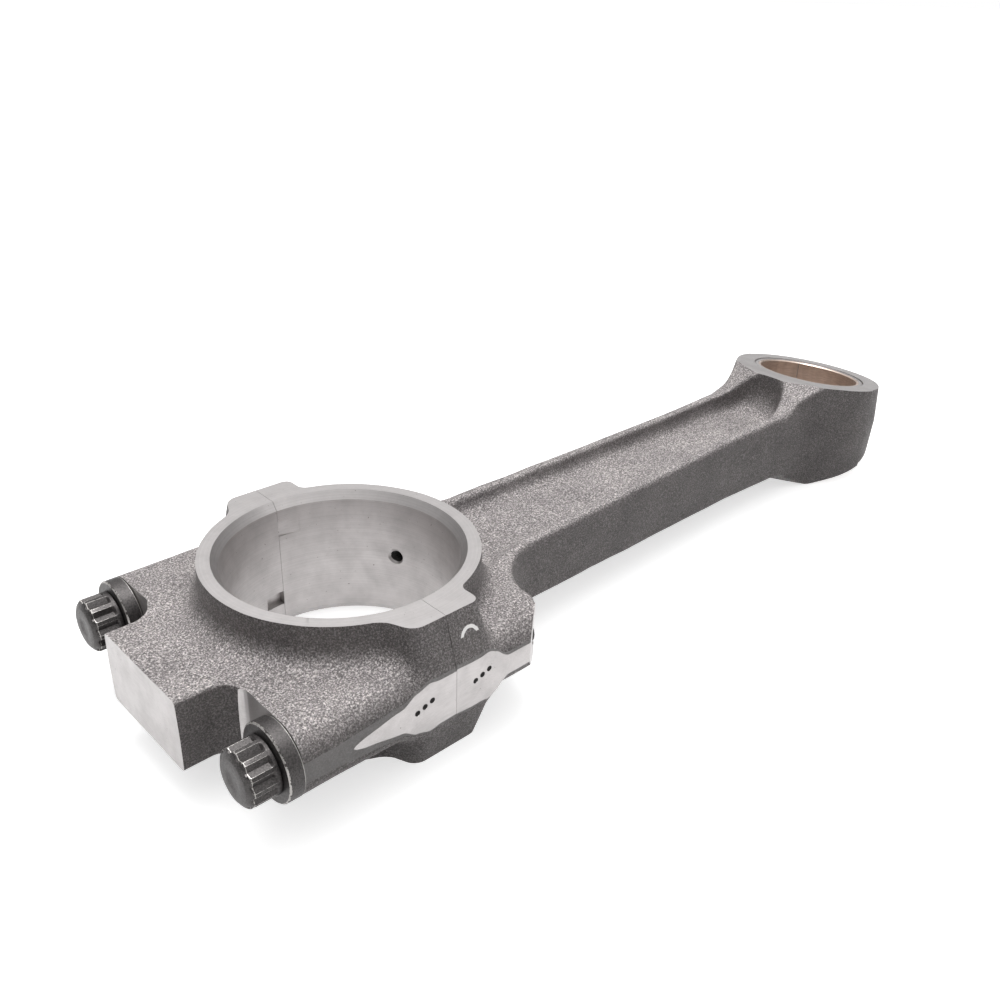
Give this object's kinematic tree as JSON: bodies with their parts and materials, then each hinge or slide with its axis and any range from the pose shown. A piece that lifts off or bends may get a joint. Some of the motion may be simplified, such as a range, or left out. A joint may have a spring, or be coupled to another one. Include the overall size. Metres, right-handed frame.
{
  "type": "connecting rod",
  "caption": "Forged diesel engine connecting rod with a bolted bearing cap, I-section beam, tapered small end and pressed-in bushing.",
  "frame": {"origin": "on the plane that the rod lies on, under the middle of its overall length and width", "axes": "+X from the crank bore towards the pin bore, +Z along both bores, upwards as the rod lies; the beam's middle plane is Y = 0 and the bolts are at +Y and -Y"},
  "size_m": [0.4202, 0.1272, 0.0542],
  "materials": {
    "forged_steel": "shot-blasted steel forging, with its bores, thrust faces, pads and seats machined bright",
    "bearing_bronze": "steel-backed bronze, bored smooth",
    "black_oxide_steel": "black oxide, slightly worn at the edges",
    "ground_steel": "ground bright"
  },
  "bodies": {
    "rod": {"rod_forging": "forged_steel", "small_end_bushing": "bearing_bronze", "dowel_pin_left": "ground_steel", "dowel_pin_right": "ground_steel"},
    "cap": {"bearing_cap": "forged_steel"},
    "washer_left": {"bolt_washer_left": "black_oxide_steel"},
    "washer_right": {"bolt_washer_right": "black_oxide_steel"},
    "bolt_left": {"cap_bolt_left": "black_oxide_steel"},
    "bolt_right": {"cap_bolt_right": "black_oxide_steel"}
  },
  "joints": [
    {"name": "cap_lift_off", "type": "slide", "parent": "rod", "child": "cap", "axis": [-1, 0, 0], "range_m": [0, 0.06]},
    {"name": "bolt_left_withdraw", "type": "slide", "parent": "cap", "child": "washer_left", "axis": [-1, 0, 0], "range_m": [0, 0.02794]},
    {"name": "bolt_right_withdraw", "type": "slide", "parent": "cap", "child": "washer_right", "axis": [-1, 0, 0], "range_m": [0, 0.02794]},
    {"name": "bolt_left_turn", "type": "hinge", "parent": "washer_left", "child": "bolt_left", "pos_m": [-0.19675, 0.0505, 0.0271], "axis": [-1, 0, 0], "range_deg": [0, 7920]},
    {"name": "bolt_right_turn", "type": "hinge", "parent": "washer_right", "child": "bolt_right", "pos_m": [-0.19675, -0.0505, 0.0271], "axis": [-1, 0, 0], "range_deg": [0, 7920]}
  ],
  "couplings": [
    {"joint": "bolt_left_turn", "follows": "bolt_left_withdraw", "rad_per_m": 4947.4},
    {"joint": "bolt_right_turn", "follows": "bolt_right_withdraw", "rad_per_m": 4947.4}
  ]
}
